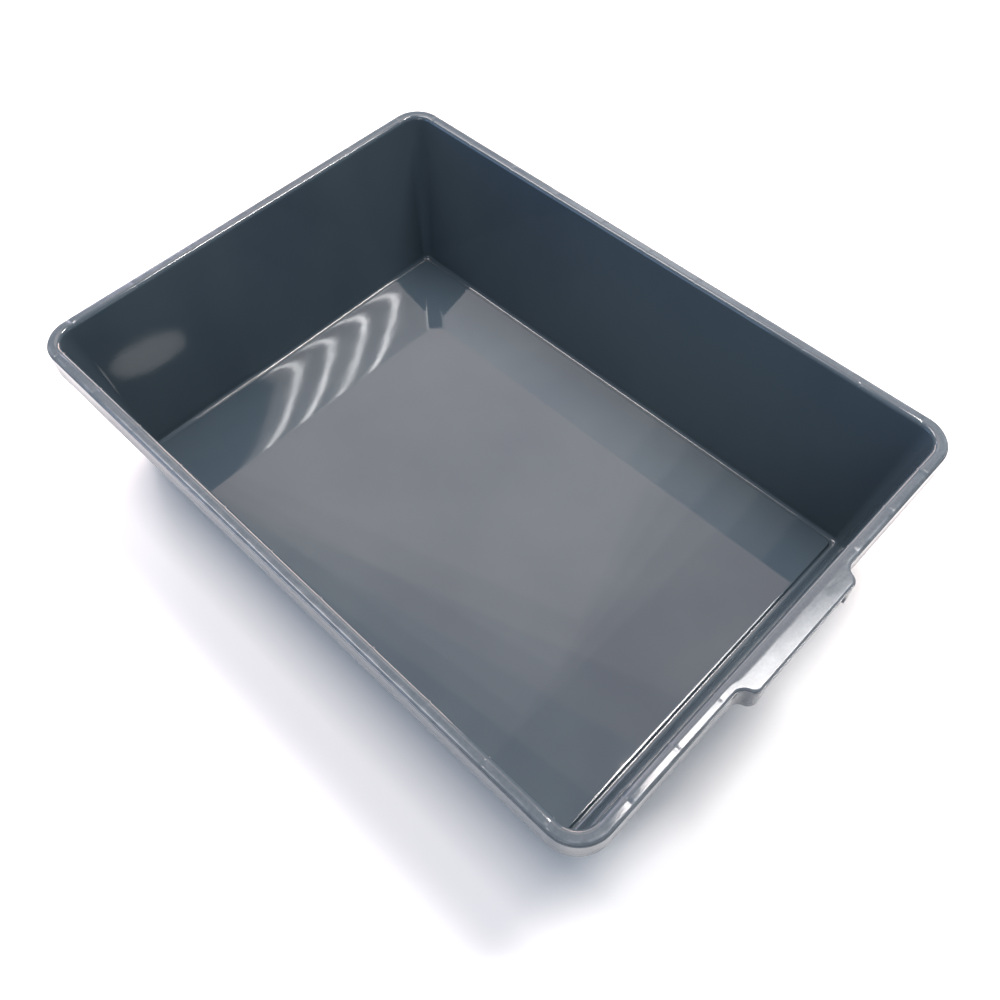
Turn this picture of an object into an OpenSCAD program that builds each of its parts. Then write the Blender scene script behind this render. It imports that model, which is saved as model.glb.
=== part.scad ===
// Deep moulded tray with a flat rim, a hanging skirt and a grip tab on its front edge.
// X is the width, Y the length with the grip tab at -Y, and Z is up from the base.

/* [Rim] */
// Length of the rim, front to back, without the grip tab
rim_l = 412; // [320:1:600]
// Width of the rim, side to side
rim_w = 297; // [230:1:420]
// Corner radius of the rim's outer edge
rim_r = 19; // [14:0.5:30]
// Width of the rim, from its outer edge to the inside of the wall
rim_band = 7.2; // [6.5:0.1:10]
// How far the skirt hangs below the top of the rim
skirt_h = 16.5; // [12:0.5:25]
// Height of the small step where the rim plate sits back from the skirt
step_h = 1.5; // [1:0.1:2]
// Depth of that step
step_d = 0.7; // [0.3:0.1:1]

/* [Bowl] */
// Overall height, from the foot to the top of the rim
height = 107; // [70:1:160]
// How far each wall leans in between the rim and the floor
draft = 17; // [8:0.5:25]
// Thickness of the walls, the floor and the rim plate
wall = 2.2; // [1.8:0.1:3]
// Thickness of the skirt
skirt_t = 1.8; // [1.4:0.1:2.4]
// Inside corner radius where the walls meet the floor
floor_r = 5; // [4:0.5:10]

/* [Floor] */
// Height of the foot that runs round the base
foot_h = 2; // [1:0.1:3]
// Width of the channel that runs round the raised floor panel
channel_w = 4.8; // [4:0.1:8]
// Corner radius of the raised floor panel
panel_r = 3; // [2.5:0.5:6]
// Radius between the walls and the channel, inside and out
bottom_fillet = 3.5; // [2:0.1:4]

/* [Grip tab] */
// Length of the straight front edge of the tab
tab_flat = 72; // [70:1:90]
// How far the tab stands out from the rim
tab_d = 7.6; // [5:0.1:9]
// Width of each curved shoulder of the tab
tab_shoulder = 10.5; // [10:0.1:14]
// Thickness of the lip along the tab's front edge
tab_lip = 3; // [2.5:0.1:4]
// Width of the finger opening under the tab
finger_w = 67; // [40:1:70]
// Corner radius at the top of the finger opening
finger_r = 8; // [3:0.5:9]

/* [Gussets] */
// Thickness of the gussets under the rim
gusset_t = 1.4; // [1:0.1:2]
// How far the gussets reach below the top of the rim
gusset_h = 11; // [6:0.5:12]
// Spacing of the gussets along the long sides
side_pitch = 37; // [30:1:44]
// Spacing of the gussets along the short sides
end_pitch = 31.5; // [26:0.5:40]

/* [Hidden] */
$fn = 96;

tray_colour = [0.42, 0.45, 0.49];
overlap = 1;                                   // how far cutters run past a face
corner_steps = 14;                             // straight steps in each bowl corner
fillet_steps = 4;                              // straight steps in each bottom fillet
shoulder_steps = 10;                           // straight steps in each arc of a tab shoulder

centre_y = tab_d / 2;                          // puts the origin at the middle of the overall length
channel_z = wall;                              // floor of the channel
panel_z = foot_h + wall;                       // top of the raised floor panel
mouth_w = rim_w - 2 * rim_band;                // inside of the walls at the rim
mouth_l = rim_l - 2 * rim_band;
mouth_r = rim_r - rim_band;
floor_w = mouth_w - 2 * draft;                 // inside of the walls at the floor panel
floor_l = mouth_l - 2 * draft;
panel_w = floor_w - 2 * channel_w;
panel_l = floor_l - 2 * channel_w;
recess_r = 1.5;                                // corner radius of the recess under the floor panel

// The shoulder is two equal arcs that meet half way, each of this angle and radius
shoulder_angle = 2 * atan(tab_d / tab_shoulder);
shoulder_r = tab_shoulder / (2 * sin(shoulder_angle));

rim_front = -rim_l / 2;                        // the rim's front edge, beside the tab
tab_reach = tab_flat / 2 + tab_shoulder;       // where the shoulders run into the rim

gusset_in = rim_band + wall;                   // from the rim's edge to well inside the wall
side_gussets = floor((rim_l / 2 - rim_r) / side_pitch);

// Share of the way up from the floor panel to the rim
function rise(z) = (z - panel_z) / (height - panel_z);

// One level of the bowl: [height, half width, half length, corner radius]
function level(z, grow, inset) = [
    z,
    floor_w / 2 + draft * rise(z) + grow - inset,
    floor_l / 2 + draft * rise(z) + grow - inset,
    floor_r + (mouth_r - floor_r) * rise(z) + grow - inset * 0.4
];

// Levels from the rounded bottom edge at z0 up to z1
function levels(z0, z1, grow, fillet) = concat(
    [for (i = [0:fillet_steps])
        let (a = 90 * i / fillet_steps)
        level(z0 + fillet * (1 - cos(a)), grow, fillet * (1 - sin(a)))],
    [level(z1, grow, 0)]
);

// Points of one level, counter-clockwise, with round corners
function ring(l) = [
    for (corner = [0:3], i = [0:corner_steps])
        let (
            a = 90 * (corner + i / corner_steps),
            sx = (corner == 0 || corner == 3) ? 1 : -1,
            sy = (corner < 2) ? 1 : -1
        )
        [sx * (l[1] - l[3]) + l[3] * cos(a), sy * (l[2] - l[3]) + l[3] * sin(a), l[0]]
];

// Closed solid through a list of levels, from the lowest to the highest
module loft(list) {
    n = 4 * (corner_steps + 1);
    last = (len(list) - 1) * n;
    polyhedron(
        points = [for (l = list) each ring(l)],
        faces = concat(
            [[for (i = [0:n - 1]) i]],
            [for (k = [0:len(list) - 2], i = [0:n - 1])
                [k * n + i, (k + 1) * n + i, (k + 1) * n + (i + 1) % n, k * n + (i + 1) % n]],
            [[for (i = [n - 1:-1:0]) last + i]]
        )
    );
}

module rounded_rect(w, l, r) {
    square([w, l - 2 * r], center = true);
    square([w - 2 * r, l], center = true);
    for (x = [-1, 1], y = [-1, 1])
        translate([x * (w / 2 - r), y * (l / 2 - r)]) circle(r);
}

// Points along an arc about the point c, from angle a0 to a1, starting with the point numbered first
function arc(c, r, a0, a1, first = 0) = [
    for (i = [first:shoulder_steps])
        let (a = a0 + (a1 - a0) * i / shoulder_steps)
        c + r * [cos(a), sin(a)]
];

// Right-hand half of the tab's outline, drawn in by e: front edge, shoulder, then into the rim
function half_tab(e) = concat(
    arc([tab_flat / 2, rim_front - tab_d + shoulder_r], shoulder_r - e, -90, shoulder_angle - 90),
    arc([tab_reach, rim_front - shoulder_r], shoulder_r + e, shoulder_angle + 90, 90, 1),
    [[tab_reach, rim_front + e + overlap]]
);

// Outline of the grip tab, drawn in by e from its outer edge
module tab_outline(e) {
    right = half_tab(e);
    left = [for (i = [len(right) - 1:-1:0]) [-right[i][0], right[i][1]]];
    polygon(concat(right, left));
}

// Outline of the whole rim, drawn in by e from its outer edge
module rim_outline(e) {
    rounded_rect(rim_w - 2 * e, rim_l - 2 * e, rim_r - e);
    tab_outline(e);
}

module rim_plate() {
    translate([0, 0, height - wall])
        linear_extrude(wall) rim_outline(step_d);
}

module skirt() {
    translate([0, 0, height - skirt_h])
        linear_extrude(skirt_h - step_h)
            difference() {
                rim_outline(0);
                rim_outline(skirt_t);
            }
}

// Cutter for the gap where fingers reach under the tab
module finger_opening() {
    half = finger_w / 2;
    top = height - tab_lip;
    low = height - skirt_h - overlap;
    translate([0, rim_front - tab_d + skirt_t + overlap / 2, 0])
        rotate([90, 0, 0])
            linear_extrude(skirt_t + overlap) {
                translate([-half, low]) square([2 * half, top - finger_r - low]);
                translate([-half + finger_r, low]) square([2 * (half - finger_r), top - low]);
                for (s = [-1, 1])
                    translate([s * (half - finger_r), top - finger_r]) circle(finger_r);
            }
}

// One gusset that ties the skirt to the wall, reaching in along -X from the rim's edge
module gusset() {
    translate([-gusset_in, -gusset_t / 2, height - gusset_h])
        cube([gusset_in - skirt_t / 2, gusset_t, gusset_h - wall / 2]);
}

module gussets() {
    for (s = [-1, 1], i = [-side_gussets:side_gussets])
        rotate([0, 0, s < 0 ? 180 : 0])
            translate([rim_w / 2, i * side_pitch, 0]) gusset();
    for (i = [-3:3])
        translate([i * end_pitch * 4 / 3, rim_l / 2, 0])
            rotate([0, 0, 90]) gusset();
    for (s = [-1, 1], i = [0:2])
        translate([s * (tab_reach + 6 + i * end_pitch), rim_front, 0])
            rotate([0, 0, -90]) gusset();
}

// The space inside the tray, with the raised floor panel left standing in it
module cavity() {
    difference() {
        loft(levels(channel_z, height + overlap, 0, bottom_fillet));
        translate([0, 0, channel_z - overlap])
            linear_extrude(foot_h + overlap) rounded_rect(panel_w, panel_l, panel_r);
    }
}

// Recess under the floor panel, which leaves the foot standing round it
module base_recess() {
    translate([0, 0, -overlap])
        linear_extrude(foot_h + overlap)
            rounded_rect(panel_w - 2 * wall, panel_l - 2 * wall, recess_r);
}

module tray() {
    color(tray_colour)
        translate([0, centre_y, 0])
            difference() {
                union() {
                    loft(levels(0, height - wall / 2, wall, bottom_fillet));
                    rim_plate();
                    difference() {
                        skirt();
                        finger_opening();
                    }
                    gussets();
                }
                cavity();
                base_recess();
            }
}

tray();
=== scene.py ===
# A deep moulded tray: one bowl with a flat rim, a skirt that hangs from it, and a grip tab in front.
# X is the width, Y the length, and Z is up. The tray's lengths are in millimetres until its mesh is
# finished, and the places and sizes of the viewpoint and the lights are in metres.
import math

import bmesh
import bpy
from mathutils import Euler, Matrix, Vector


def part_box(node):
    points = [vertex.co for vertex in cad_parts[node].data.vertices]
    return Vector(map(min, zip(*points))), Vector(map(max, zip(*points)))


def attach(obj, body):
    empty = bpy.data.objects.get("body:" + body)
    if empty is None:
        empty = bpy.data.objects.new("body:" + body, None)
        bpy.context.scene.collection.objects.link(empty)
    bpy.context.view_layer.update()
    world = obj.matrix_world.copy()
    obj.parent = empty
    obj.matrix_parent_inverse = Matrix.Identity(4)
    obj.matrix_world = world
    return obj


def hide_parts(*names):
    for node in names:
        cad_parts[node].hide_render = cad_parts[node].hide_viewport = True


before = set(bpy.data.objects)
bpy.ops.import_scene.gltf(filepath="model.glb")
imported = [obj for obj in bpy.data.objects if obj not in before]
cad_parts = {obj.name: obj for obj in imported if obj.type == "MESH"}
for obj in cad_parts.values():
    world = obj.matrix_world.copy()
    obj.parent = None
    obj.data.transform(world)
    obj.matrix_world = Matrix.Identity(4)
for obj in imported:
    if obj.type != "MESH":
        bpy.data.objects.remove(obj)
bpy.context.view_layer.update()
MM = 0.001

# ---- Viewpoint ----
# Someone stands at the tray's front left corner and looks down into it, a little more than half a metre up.
camera_place = Vector((-0.2364, -0.2491, 0.5191))
look_turned = 44.79   # degrees from +Y towards +X
look_down = 56.56
head_tilt = -1.29
camera_lens = 35.67
sensor_width = 36

camera_data = bpy.data.cameras.new("viewpoint")
camera_data.lens = camera_lens
camera_data.sensor_width = sensor_width
camera = bpy.data.objects.new("viewpoint", camera_data)
camera.location = camera_place
turned = Euler((math.radians(90 - look_down), 0, -math.radians(look_turned))).to_matrix()
tilted = Euler((0, 0, math.radians(head_tilt))).to_matrix()
camera.rotation_euler = (turned @ tilted).to_euler()
bpy.context.scene.collection.objects.link(camera)
bpy.context.scene.camera = camera

# ---- Tray: sizes ----
# The whole tray is one injection moulding in polypropylene, about two millimetres thick everywhere.
# Its outside sizes come from the frame, and the rest are those of the same moulding in detail.
tray_low, tray_high = (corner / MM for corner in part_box("tray"))
tab_reach = 7.6                                  # how far the grip tab stands out from the rim
rim_w = tray_high.x - tray_low.x
rim_l = tray_high.y - tray_low.y - tab_reach
rim_top = tray_high.z
rim_r = 19                                       # corner radius of the rim's outer edge
centre_y = tab_reach / 2                         # the rim's middle, which the tab leaves off centre
skirt_h = 16.5
wall = 2.2
lean = math.radians(9.39)                        # how far the walls lean out from upright

tab_flat = 36                                    # half of the tab's straight front edge
tab_shoulder = 10.5                              # width of each S-shaped shoulder
shoulder_turn = 2 * math.atan(tab_reach / tab_shoulder)
shoulder_r = tab_shoulder / 2 / math.sin(shoulder_turn)
tab_end = tab_flat + tab_shoulder
tab_lip = 3
opening = 33.5                                   # half of the finger opening in the skirt
opening_r = 8
opening_flare = 0.8                              # how far the opening's edge rounds into the skirt's

RIGHT, BACK, LEFT, FRONT = range(4)
half_straight = {                                # half of each side's straight length at the rim
    RIGHT: rim_l / 2 - rim_r,
    BACK: rim_w / 2 - rim_r,
    LEFT: rim_l / 2 - rim_r,
    FRONT: rim_w / 2 - rim_r,
}
side_ribs = [37 * i for i in range(-5, 6)]
back_ribs = [42 * i for i in range(-3, 4)]
front_ribs = [side * (tab_end + 6 + 31.5 * i) for side in (-1, 1) for i in range(3)]
ribs = {RIGHT: side_ribs, BACK: back_ribs, LEFT: side_ribs, FRONT: front_ribs}


# ---- Tray: section ----
# The section runs from the middle of the floor out to the wall, up, over the rim, down the skirt and
# back underneath. Each point is how far in from the rim's outer edge it is, and how high.
channel_top = wall
floor_top = 4.2
wall_foot = 24.2                                 # inset of the wall's inner face, level with the floor
panel_edge = 29                                  # inset of the raised floor panel's edge
channel_r = 3                                    # radius between the inner face and the channel
bottom_r = 3.5                                   # radius between the outer face and the base
lip_r = 3                                        # radius between the inner face and the rim
lip_steps = 7
floor_swell = 0.7                                # the wall swells by this much into the bowl at its foot
rim_swell = 0.1                                  # and leans back by this much at the rim
swell_reach = 9                                  # height over which either fades to a third


def inner_face(z):
    foot = floor_swell * math.exp((floor_top - z) / swell_reach)
    lip = rim_swell * math.exp((z - rim_top) / swell_reach)
    return wall_foot - (z - floor_top) * math.tan(lean) + foot - lip


def outer_face(z):
    return wall_foot - wall / math.cos(lean) - (z - floor_top) * math.tan(lean)


def lean_at(face, z):
    return math.atan(face(z - 0.5) - face(z + 0.5))


def arc(inset, z, r, start, end, steps):
    turns = [math.radians(start + (end - start) * i / steps) for i in range(steps + 1)]
    return [(inset + r * math.cos(a), z + r * math.sin(a)) for a in turns]


def foot_arc(face, level, r, steps):
    """Rounds a face into the level surface at its foot, starting on that surface."""
    turn = lean_at(face, level + r)
    inset = face(level + r - r * math.sin(turn)) + r * math.cos(turn)
    return arc(inset, level + r, r, -90, math.degrees(turn) - 180, steps)


def top_arc(face, level, r, steps):
    """Rounds a face into the level surface above it, ending on that surface."""
    turn = lean_at(face, level - r)
    inset = face(level - r + r * math.sin(turn)) - r * math.cos(turn)
    return arc(inset, level - r, r, math.degrees(turn), 90, steps)


# Rows lie closer together towards every edge and bend.
panel_rings = (146, 134, 122, 110, 98, 86, 76, 67, 59, 52, 46, 41, 37, 34, 32, 31, 30.6)
foot_heights = (5.4, 6.2, 7, 8, 9.5, 11, 13, 16, 19, 23, 28, 34)
upper_heights = (42, 50, 60, 70, 78, 85, 90, 94, 97, 100, 102, 103.5)
outer_heights = (103, 100, 94, 86, 76, 64, 52, 40, 28, 16, 8, 4)
inside = (
    [(inset, floor_top) for inset in panel_rings]
    + arc(panel_edge + 0.7, floor_top - 0.4, 0.4, 90, 160, 4)
    + arc(panel_edge - 0.8, channel_top + 0.6, 0.6, -20, -90, 3)
    + foot_arc(inner_face, channel_top, channel_r, 8)
    + [(inner_face(z), z) for z in foot_heights + upper_heights]
    + top_arc(inner_face, rim_top, lip_r, lip_steps)
)
flange = [(inset, rim_top) for inset in (4.4, 4, 3.4, 2.8, 2.2, 1.9)]
rim_edge = (
    arc(1.6, rim_top - 0.9, 0.9, 90, 180, 5)
    + arc(0.4, rim_top - 1.2, 0.3, 0, -90, 3)
    + arc(0.25, rim_top - 1.75, 0.25, 90, 180, 3)
    + [(0, rim_top - 2)]
)
# The skirt's bottom edge rises over the finger opening, so these heights are from that edge.
skirt_edge = (
    [(0, 0.9)]
    + arc(0.5, 0.5, 0.5, 180, 270, 4)
    + arc(1.4, 0.4, 0.4, -90, 0, 4)
)
underside = (
    arc(2.1, rim_top - wall - 0.3, 0.3, 180, 90, 3)
    + [(2.6, rim_top - wall), (3.4, rim_top - wall)]
    + top_arc(outer_face, rim_top - wall, 1, 4)[::-1]
    + [(outer_face(z), z) for z in outer_heights]
    + foot_arc(outer_face, 0, bottom_r, 6)[::-1]
    + arc(30.8, 0.4, 0.4, -90, 0, 3)
    + arc(31.6, 1.6, 0.4, 180, 90, 3)
    + [(inset, 2) for inset in (32.2, 34, 42, 60, 90, 120, 146)]
)

# Corner radius of the rings inside and outside the moulding, as pairs of an inset and its radius
inside_corners = ((0, rim_r), (7.5, 11.5), (24.05, 5), (27.5, 3.6), (29, 3), (30.5, 1.5), (150, 1.5))
outside_corners = ((0, rim_r), (5.47, 13.53), (22.18, 7.2), (25.63, 5.8), (31.2, 1.6), (150, 1.5))


def corner_radius(inset, table):
    for (a, ra), (b, rb) in zip(table, table[1:]):
        if inset <= b:
            return ra + (rb - ra) * (inset - a) / (b - a)


# ---- Tray: stations round the rim ----
# Each ring of the mesh has the same stations: a side and a place along it, or a corner and an angle.
# They lie closer where a rib's sink mark, a shoulder of the tab or the finger opening needs them.
def spread(start, end, steps):
    return [start + (end - start) * i / steps for i in range(steps + 1)]


side_steps = {RIGHT: 30, BACK: 20, LEFT: 30, FRONT: 20}
corner_steps = 14
rib_steps = (-2.4, -1.2, -0.6, 0, 0.6, 1.2, 2.4)
flare_steps = (0.1, 0.25, 0.5, 1)


def side_stations(side):
    half = half_straight[side]
    places = spread(-half, half, side_steps[side])
    for rib in ribs[side]:
        places += [rib + step for step in rib_steps]
    if side == FRONT:
        for hand in (-1, 1):
            places += [hand * p for p in spread(tab_flat, tab_end, 16)]
            places += [hand * (opening - opening_r * math.cos(a)) for a in spread(0, math.pi / 2, 8)]
            places += [hand * (opening + opening_flare * step) for step in flare_steps]
    places = sorted({round(p, 2) for p in places if abs(p) <= half})
    return [(side, p, None) for p in places]


stations = []
for side in (RIGHT, BACK, LEFT, FRONT):
    stations += side_stations(side)
    stations += [(side, 0, math.pi / 2 * i / corner_steps) for i in range(1, corner_steps)]


def skirt_bottom(station):
    side, along, turn = station
    low = rim_top - skirt_h
    x = abs(along)
    if side != FRONT or turn is not None or x >= opening + opening_flare:
        return low
    top = rim_top - tab_lip
    spring = top - opening_r
    if x > opening:
        return low + (spring - low) * (1 - (x - opening) / opening_flare) ** 3
    across = max(0, x - (opening - opening_r))
    return spring + math.sqrt(opening_r ** 2 - across ** 2)


def tab_edge(place, inset):
    """Where the tab's edge, drawn in by inset, crosses a station on the front side."""
    x = abs(place)
    if x >= tab_end:
        return Vector((place, inset))
    share = min(1, max(0, (x - tab_flat) / tab_shoulder))
    if share <= 0.5:
        turn = 2 * share * shoulder_turn
        out = tab_reach - shoulder_r + (shoulder_r - inset) * math.cos(turn)
        along = tab_flat + (shoulder_r - inset) * math.sin(turn) if share else x
    else:
        turn = 2 * (1 - share) * shoulder_turn
        out = shoulder_r - (shoulder_r + inset) * math.cos(turn)
        along = tab_end - (shoulder_r + inset) * math.sin(turn)
    return Vector((math.copysign(along, place), -out))


def directions(side):
    """Unit vectors straight out of a side, and along it towards the next side."""
    out = Vector((math.cos(math.pi / 2 * side), math.sin(math.pi / 2 * side), 0))
    return out, Vector((-out.y, out.x, 0))


# Rows near the rim's edge follow the tab's outline, which fades out between these two insets.
tab_kept = 2.6
tab_gone = 5.2
tab_floor = 80                                   # rows below this height are the wall's, not the skirt's


def place_station(station, inset, z, r):
    side, along, turn = station
    out, on = directions(side)
    half_out, half_on = (rim_w / 2 - inset, rim_l / 2 - inset)
    if side in (BACK, FRONT):
        half_out, half_on = half_on, half_out
    up = Vector((0, 0, z))
    if turn is not None:
        return out * (half_out - r + r * math.cos(turn)) + on * (half_on - r + r * math.sin(turn)) + up
    along *= (half_on - r) / half_straight[side]
    if side == FRONT and inset < tab_gone and z > tab_floor:
        share = min(1, (tab_gone - inset) / (tab_gone - tab_kept))
        edge = tab_edge(along, min(inset, tab_kept))
        along += (edge.x - along) * share
        half_out += (rim_l / 2 - edge.y - half_out) * share
    return out * half_out + on * along + up


# ---- Tray: mesh ----
# One ring of edges at the middle of the floor is extruded through every point of the section.
# A rib behind the rim draws the rim's top down into a faint sink mark as the plastic cools.
faint_sink = 0.12
deep_sink = 0.16                                 # over the last rib before each corner
sink_half_width = 1.1
sink_floor = rim_top - 0.3                       # rows below this height are left as they are


def sink(station, z):
    side, along, turn = station
    if turn is not None or z < sink_floor:
        return 0
    nearest = min(ribs[side], key=lambda rib: abs(along - rib))
    depth = deep_sink if nearest in (min(ribs[side]), max(ribs[side])) else faint_sink
    return depth * math.exp(-((along - nearest) / sink_half_width) ** 2)


# Each row of the mesh: a point of the section, its table of corners, and whether it hangs with the skirt
section = [(point, inside_corners, False) for point in inside + flange + rim_edge]
section += [(point, outside_corners, True) for point in skirt_edge]
section += [(point, outside_corners, False) for point in underside]

# The wall's foot cooled straighter by the back left corner than it did elsewhere.
straight_corner = Vector((-rim_w / 2, rim_l / 2))
straight_reach = 118
straight_fade = 16
channel_side = 28                                # rows further in are the floor's, not the wall's


def straightened(spot, inset, z, corners):
    if corners is not inside_corners or inset > channel_side:
        return 0
    distance = (spot.xy - straight_corner).length
    share = min(1, max(0, (straight_reach - distance) / straight_fade))
    return share * floor_swell * math.exp((floor_top - z) / swell_reach)


def ring_spots(row):
    (inset, z), corners, hangs = row
    spots = []
    radius = corner_radius(inset, corners)
    for station in stations:
        base = skirt_bottom(station) if hangs else 0
        spot = place_station(station, inset, z + base, radius)
        eased = straightened(spot, inset, z, corners)
        if eased:
            spot = place_station(station, inset - eased, z + base, radius)
        spot.z -= sink(station, z)
        spots.append(spot)
    return spots


# The bowl is polished, and the satin grain comes in over the lip and fades again on the outside; the same
# share also blends in the rim's paler greys, a painted sheen.
# The edges that hands and benches rub are worn: a point on each, in the section's own terms.
lip_row = len(inside) - lip_steps
outside_row = len(inside + flange + rim_edge)
outside_satin = 0.4
worn_spots = ((1.6, rim_top), (0.7, rim_top - 0.9), (0.5, 0), (30.8, 0), (27, 0.4))
worn_reach = 0.7


def satin_at(number):
    if number >= outside_row:
        return outside_satin
    return min(1, max(0, (number - lip_row) / lip_steps))


def worn_at(inset, z):
    nearest = min(math.hypot(inset - i, z - level) for i, level in worn_spots)
    return math.exp(-(nearest / worn_reach) ** 2)


tray_mesh = bmesh.new()
satin_layer = tray_mesh.verts.layers.float.new("satin")
outside_layer = tray_mesh.verts.layers.float.new("outside")
worn_layer = tray_mesh.verts.layers.float.new("worn")
ring = [tray_mesh.verts.new(spot) for spot in ring_spots(section[0])]
edges = [tray_mesh.edges.new((a, b)) for a, b in zip(ring, ring[1:] + ring[:1])]
bmesh.ops.edgeloop_fill(tray_mesh, edges=edges)
for number, row in enumerate(section[1:], 1):
    geometry = bmesh.ops.extrude_edge_only(tray_mesh, edges=edges)["geom"]
    fresh = {g for g in geometry if isinstance(g, bmesh.types.BMVert)}
    ring = [next(e.other_vert(v) for e in v.link_edges if e.other_vert(v) in fresh) for v in ring]
    edges = [g for g in geometry if isinstance(g, bmesh.types.BMEdge) and fresh.issuperset(g.verts)]
    for vert, spot in zip(ring, ring_spots(row)):
        vert.co = spot
        vert[satin_layer] = satin_at(number)
        vert[outside_layer] = number >= outside_row
        vert[worn_layer] = worn_at(*row[0])
bmesh.ops.edgeloop_fill(tray_mesh, edges=edges)

# Ribs under the rim tie the skirt to the wall.
rib_t = 1.4
rib_start = 0.8                                  # inset of its outer end, inside the skirt
rib_reach = 6.3
rib_low = rim_top - 11
rib_high = rim_top - 1                           # about half way through the rim plate
for side, places in ribs.items():
    out, on = directions(side)
    edge = rim_w / 2 if side in (RIGHT, LEFT) else rim_l / 2
    for along in places:
        rib = bmesh.ops.create_cube(tray_mesh, size=1)["verts"]
        size = out * rib_reach + on * rib_t
        size = Vector((abs(size.x), abs(size.y), rib_high - rib_low))
        bmesh.ops.scale(tray_mesh, vec=size, verts=rib)
        middle = out * (edge - rib_start - rib_reach / 2) + on * along
        middle.z = (rib_high + rib_low) / 2
        bmesh.ops.translate(tray_mesh, vec=middle, verts=rib)
        for vert in rib:
            vert[satin_layer] = outside_satin
            vert[outside_layer] = 1

bmesh.ops.translate(tray_mesh, vec=(0, centre_y, 0), verts=tray_mesh.verts)
bmesh.ops.recalc_face_normals(tray_mesh, faces=tray_mesh.faces)
bmesh.ops.scale(tray_mesh, vec=(MM, MM, MM), verts=tray_mesh.verts)
# Extruding makes the faces in an order that differs from run to run, so they are put in a fixed one.
in_order = sorted(tray_mesh.faces, key=lambda face: tuple(face.calc_center_median()))
for number, face in enumerate(in_order):
    face.index = number
    face.smooth = True
tray_mesh.faces.sort()
shape = bpy.data.meshes.new("moulded_tray")
tray_mesh.to_mesh(shape)
tray_mesh.free()
tray = bpy.data.objects.new("moulded_tray", shape)
bpy.context.scene.collection.objects.link(tray)


# ---- Tray: moulded polypropylene ----
# Blue-grey polypropylene, pigmented all through. The bowl comes off a polished core and mirrors the room,
# the rim off a fine satin cavity, and the outside off a duller one. Handling pales the outer edges.
def linear(hex_colour):
    parts = [int(hex_colour[i:i + 2], 16) / 255 for i in (1, 3, 5)]
    return tuple(p / 12.92 if p <= 0.04045 else ((p + 0.055) / 1.055) ** 2.4 for p in parts) + (1,)


def add_node(kind, settings, inputs=None):
    """Adds a node to the tree in hand, with its properties, and its inputs by name or number:
    another node's output is linked, and anything else is the input's own value."""
    node = tree.nodes.new("ShaderNode" + kind)
    for name, value in settings.items():
        setattr(node, name, value)
    for name, value in (inputs or {}).items():
        if isinstance(value, bpy.types.NodeSocket):
            tree.links.new(value, node.inputs[name])
        else:
            node.inputs[name].default_value = value
    return node


polypropylene = bpy.data.materials.new("moulded_polypropylene")
polypropylene.use_nodes = True
tree = polypropylene.node_tree
shader = tree.nodes["Principled BSDF"]
shader.inputs["IOR"].default_value = 1.5
on_tray = add_node("TexCoord", {}).outputs["Object"]
satin_and_sheen_share = add_node("Attribute", {"attribute_name": "satin"}).outputs["Fac"]
outside_share = add_node("Attribute", {"attribute_name": "outside"}).outputs["Fac"]
worn_share = add_node("Attribute", {"attribute_name": "worn"}).outputs["Fac"]
COLOUR = {"data_type": "RGBA"}
FACTOR, FIRST, SECOND, MIXED = 0, 6, 7, 2        # a colour mix's inputs and its output, by number

# The pigment drifts a little as the plastic flows up each wall, in streaks about ten centimetres long.
flow_size = 95 * MM
flow_place = add_node("Mapping", {}, {"Vector": on_tray, "Scale": (1, 1, 0.5)})
flow = add_node("TexNoise", {}, {"Vector": flow_place.outputs[0], "Scale": 1 / flow_size, "Detail": 3})
flow_spread = add_node("MapRange", {}, {"Value": flow.outputs["Fac"], "From Min": 0.35, "From Max": 0.68})
bowl_greys = {FACTOR: flow_spread.outputs[0], FIRST: linear("#3a464f"), SECOND: linear("#424e55")}
bowl_colour = add_node("Mix", COLOUR, bowl_greys)

# The satin grain scatters more light, so the rim is given paler greys: a painted sheen over the plastic's
# own grey. The grain is really about 0.2 mm, and drawn coarser.
grain_size = 1.6 * MM
grain = add_node("TexNoise", {}, {"Vector": on_tray, "Scale": 1 / grain_size, "Detail": 2})
grain_spread = add_node("MapRange", {}, {"Value": grain.outputs["Fac"], "From Min": 0.3, "From Max": 0.7})
rim_sheen_greys = {FACTOR: grain_spread.outputs[0], FIRST: linear("#485158"), SECOND: linear("#50595f")}
rim_sheen_colour = add_node("Mix", COLOUR, rim_sheen_greys)
# Where the satin share is high, the paler greys stand in for sheen: painted sheen on the rim, and at 0.4 of
# it on the outside.
both_colours = {FACTOR: satin_and_sheen_share, FIRST: bowl_colour.outputs[MIXED], SECOND: rim_sheen_colour.outputs[MIXED]}
body_colour = add_node("Mix", COLOUR, both_colours)

# Rubbed edges are paler, in broken patches about as long as a fingertip.
rub_size = 9 * MM
rub = add_node("TexNoise", {}, {"Vector": on_tray, "Scale": 1 / rub_size, "Detail": 4})
rub_spread = {"Value": rub.outputs["Fac"], "From Min": 0.42, "From Max": 0.6, "To Max": 0.45}
rub_patches = add_node("MapRange", {}, rub_spread)
worn_patches = add_node("Math", {"operation": "MULTIPLY"}, {0: worn_share, 1: rub_patches.outputs[0]})
worn_amount = worn_patches.outputs[0]
worn_colours = {FACTOR: worn_amount, FIRST: body_colour.outputs[MIXED], SECOND: linear("#6f777e")}
surface_colour = add_node("Mix", COLOUR, worn_colours)
tree.links.new(surface_colour.outputs[MIXED], shader.inputs["Base Color"])

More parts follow.
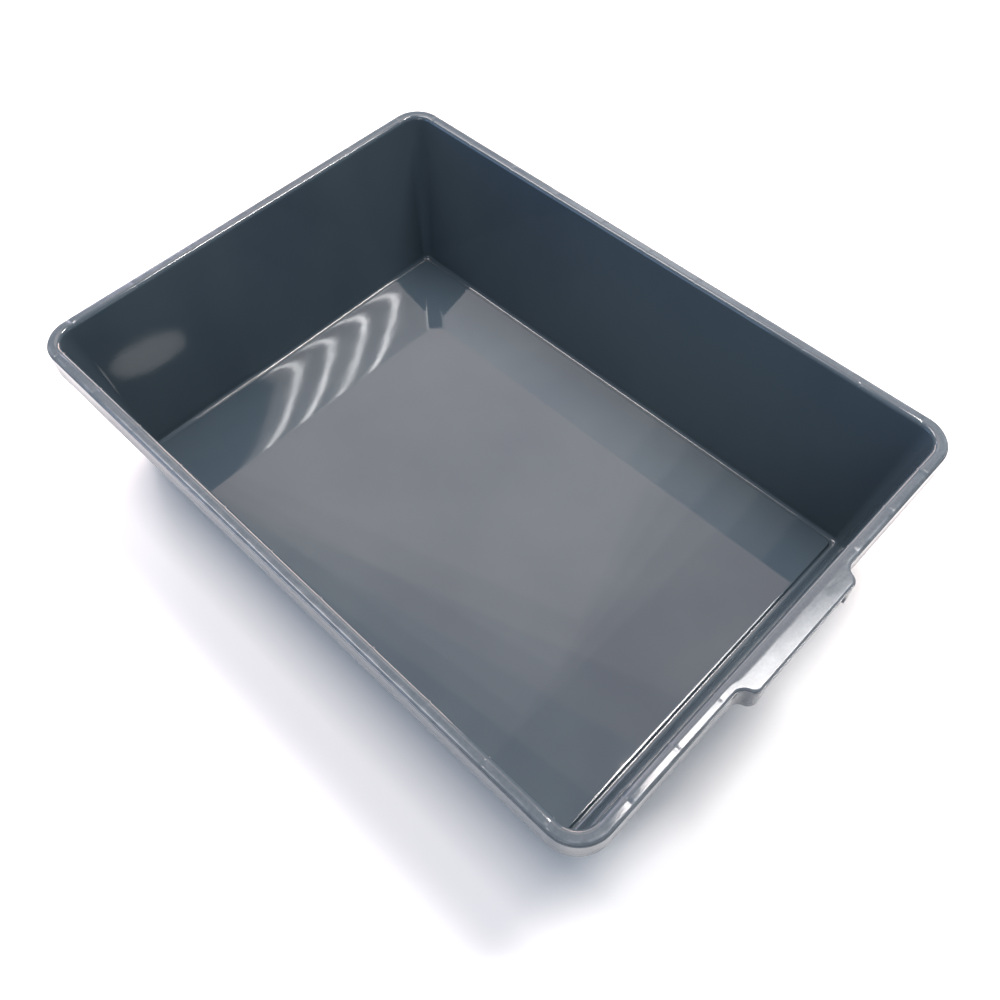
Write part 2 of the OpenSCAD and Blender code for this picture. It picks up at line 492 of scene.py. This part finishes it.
# The bowl's gloss is a little dulled by handling, and the rim's is blotched where fingers have been.
# Worn edges and the outside are rougher again, each by its own amount.
haze_size = 28 * MM
blotch_size = 5 * MM
worn_dulling = 0.2
outside_dulling = 0.24
haze = add_node("TexNoise", {}, {"Vector": on_tray, "Scale": 1 / haze_size, "Detail": 3})
haze_range = {"From Min": 0.3, "From Max": 0.75, "To Min": 0.025, "To Max": 0.055}
bowl_roughness = add_node("MapRange", {}, {"Value": haze.outputs["Fac"], **haze_range})
blotch = add_node("TexNoise", {}, {"Vector": on_tray, "Scale": 1 / blotch_size, "Detail": 4})
blotch_range = {"From Min": 0.3, "From Max": 0.7, "To Min": 0.08, "To Max": 0.16}
rim_roughness = add_node("MapRange", {}, {"Value": blotch.outputs["Fac"], **blotch_range})
both_roughnesses = {FACTOR: satin_and_sheen_share, 2: bowl_roughness.outputs[0], 3: rim_roughness.outputs[0]}
body_roughness = add_node("Mix", {"data_type": "FLOAT"}, both_roughnesses)
worn_steps = {0: worn_amount, 1: worn_dulling, 2: body_roughness.outputs[0]}
worn_roughness = add_node("Math", {"operation": "MULTIPLY_ADD"}, worn_steps)
outside_steps = {0: outside_share, 1: outside_dulling, 2: worn_roughness.outputs[0]}
roughness = add_node("Math", {"operation": "MULTIPLY_ADD"}, outside_steps)
tree.links.new(roughness.outputs[0], shader.inputs["Roughness"])

# Uneven cooling leaves the bowl very slightly wavy, which bends the lights mirrored in it.
wave_size = 16 * MM
waves = add_node("TexNoise", {}, {"Vector": on_tray, "Scale": 1 / wave_size, "Detail": 1})
wavy = add_node("Bump", {}, {"Height": waves.outputs["Fac"], "Distance": 0.02 * MM, "Strength": 0.6})
grain_height = add_node("Math", {"operation": "MULTIPLY"}, {0: grain_spread.outputs[0], 1: satin_and_sheen_share})
grain_bump = {"Height": grain_height.outputs[0], "Normal": wavy.outputs[0], "Distance": 0.006 * MM}
grained = add_node("Bump", {}, {**grain_bump, "Strength": 0.4})
tree.links.new(grained.outputs[0], shader.inputs["Normal"])
shape.materials.append(polypropylene)
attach(tray, "root")
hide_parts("tray")

# ---- Studio ----
# A plain pale floor under the tray, wide enough to fill every view.
floor_half = 12
floor_shape = bpy.data.meshes.new("studio_floor")
floor_mesh = bmesh.new()
bmesh.ops.create_grid(floor_mesh, x_segments=1, y_segments=1, size=floor_half)
floor_mesh.to_mesh(floor_shape)
floor_mesh.free()
floor = bpy.data.objects.new("studio_floor", floor_shape)
bpy.context.scene.collection.objects.link(floor)
pale_paint = bpy.data.materials.new("pale_studio_paint")
pale_paint.use_nodes = True
paint_shader = pale_paint.node_tree.nodes["Principled BSDF"]
paint_shader.inputs["Base Color"].default_value = linear("#f4f4f2")
paint_shader.inputs["Roughness"].default_value = 0.9
floor_shape.materials.append(pale_paint)


# Bare tubes and soft panels hang above the tray, as in a light workshop, with more panels round it.
# Brightness is given as radiance, so a panel's size doesn't change how bright it looks in the gloss.
# Panels that overlap hang a little apart in height, because level ones hide one another in the gloss.
def panel(name, place, size, radiance, colour, turned=0, aim=None):
    data = bpy.data.lights.new(name, "AREA")
    data.shape = "RECTANGLE"
    data.size, data.size_y = size
    data.energy = radiance * size[0] * size[1] * math.pi
    data.color = linear(colour)[:3]
    light = bpy.data.objects.new(name, data)
    light.location = place
    light.rotation_euler = (0, 0, math.radians(turned))
    if aim:
        light.rotation_euler = (Vector(aim) - Vector(place)).to_track_quat("-Z", "Y").to_euler()
    bpy.context.scene.collection.objects.link(light)
    return light


ceiling = 1.6
white = "#ffffff"

# Four bare tubes hang side by side, below the tray that throws their light down.
tube_turned = -34
tube_gap = 0.06
along_tube = Vector((math.cos(math.radians(tube_turned)), math.sin(math.radians(tube_turned)), 0))
across_tube = Vector((-along_tube.y, along_tube.x, 0))
first_tube = along_tube * 0.72 + Vector((0, 0, ceiling))
for i in range(4):
    panel(f"tube_{i + 1}", first_tube + across_tube * tube_gap * i, (0.8, 0.01), 130, white, tube_turned)
tube_tray_place = first_tube + across_tube * 0.13 + Vector((0, 0, 0.01))
panel("tube_tray", tube_tray_place, (0.8, 0.35), 14, "#ffeee8", tube_turned)
panel("bench_panel", (0.728, -0.092, ceiling - 0.01), (0.5, 0.16), 19, white, -13)
panel("bench_panel_end", (0.45, -0.05, ceiling - 0.01), (0.1, 0.16), 19, white)

# A long panel on the left is made of strips, which brighten over the first few and dim over the last.
left_strips = 14
strip_width = 0.1
left_start = 0.12
for i in range(left_strips):
    strength = 13 * min(1, (i + 1) / 5, (left_strips + 2 - i) / 6)
    middle = (-0.19, left_start + strip_width * (i + 0.5), ceiling + 0.02)
    panel(f"left_panel_{i + 1}", middle, (0.58, strip_width), strength, "#fff5f4")

# Faint glows spread far over the bench. Each is a stack of panels that shrink and turn a little, so its
# edges are soft.
for i in range(4):
    fade = 0.07 * i
    lift = 0.005 * i
    wide_middle = (0.8 + fade / 2, 0.82 + fade / 2, ceiling + 0.03 + lift)
    panel(f"wide_glow_{i + 1}", wide_middle, (1.2 - fade, 2.0 - fade), 0.37, "#ffd9c7", 6 * i)
    back_middle = (0.84 + fade / 2, 1.0 + fade / 2, ceiling + 0.05 + lift)
    panel(f"back_glow_{i + 1}", back_middle, (1.2 - fade, 1.4 - fade), 0.28, white, 6 * i)
panel("right_glow", (1.55, 0.7, ceiling + 0.08), (0.3, 1.5), 1, white)
panel("right_glow_middle", (1.55, 0.98, ceiling + 0.09), (0.3, 0.6), 2.4, white)
panel("back_panel", (0.64, 2.4, ceiling), (0.5, 0.9), 10, "#ece4ff")

# Upright panels stand round the bench and face it, and a small oval lamp stands in front.
bench_middle = (0, 0, 0.1)
lamp = panel("window", (0.45, -2.02, 1.07), (0.24, 0.09), 10, white, aim=bench_middle)
lamp.data.shape = "ELLIPSE"
upright_distance = 2.9
upright_size = (1.5, 0.8)
upright_panels = (                               # name, degrees from +X, height, radiance, colour
    ("right_side", 30, 0.75, 13, "#ffded1"),
    ("back_side", 60, 0.6, 7.6, "#ffe4dc"),
    ("far_left_side", 150, 0.4, 5, "#8cbcff"),
    ("near_left_side", 210, 0.5, 1.5, "#ffe9d6"),
    ("high_left_side", 199, 1.35, 4, "#eef6ff"),
)
for name, azimuth, height, radiance, colour in upright_panels:
    turn = math.radians(azimuth)
    middle = (upright_distance * math.cos(turn), upright_distance * math.sin(turn), height)
    panel(name, middle, upright_size, radiance, colour, aim=bench_middle)

world = bpy.data.worlds.new("studio_air")
world.use_nodes = True
air = world.node_tree.nodes["Background"]
air.inputs["Color"].default_value = linear("#dceaff")
air.inputs["Strength"].default_value = 0.42
bpy.context.scene.world = world
bpy.context.scene.view_settings.view_transform = "Standard"
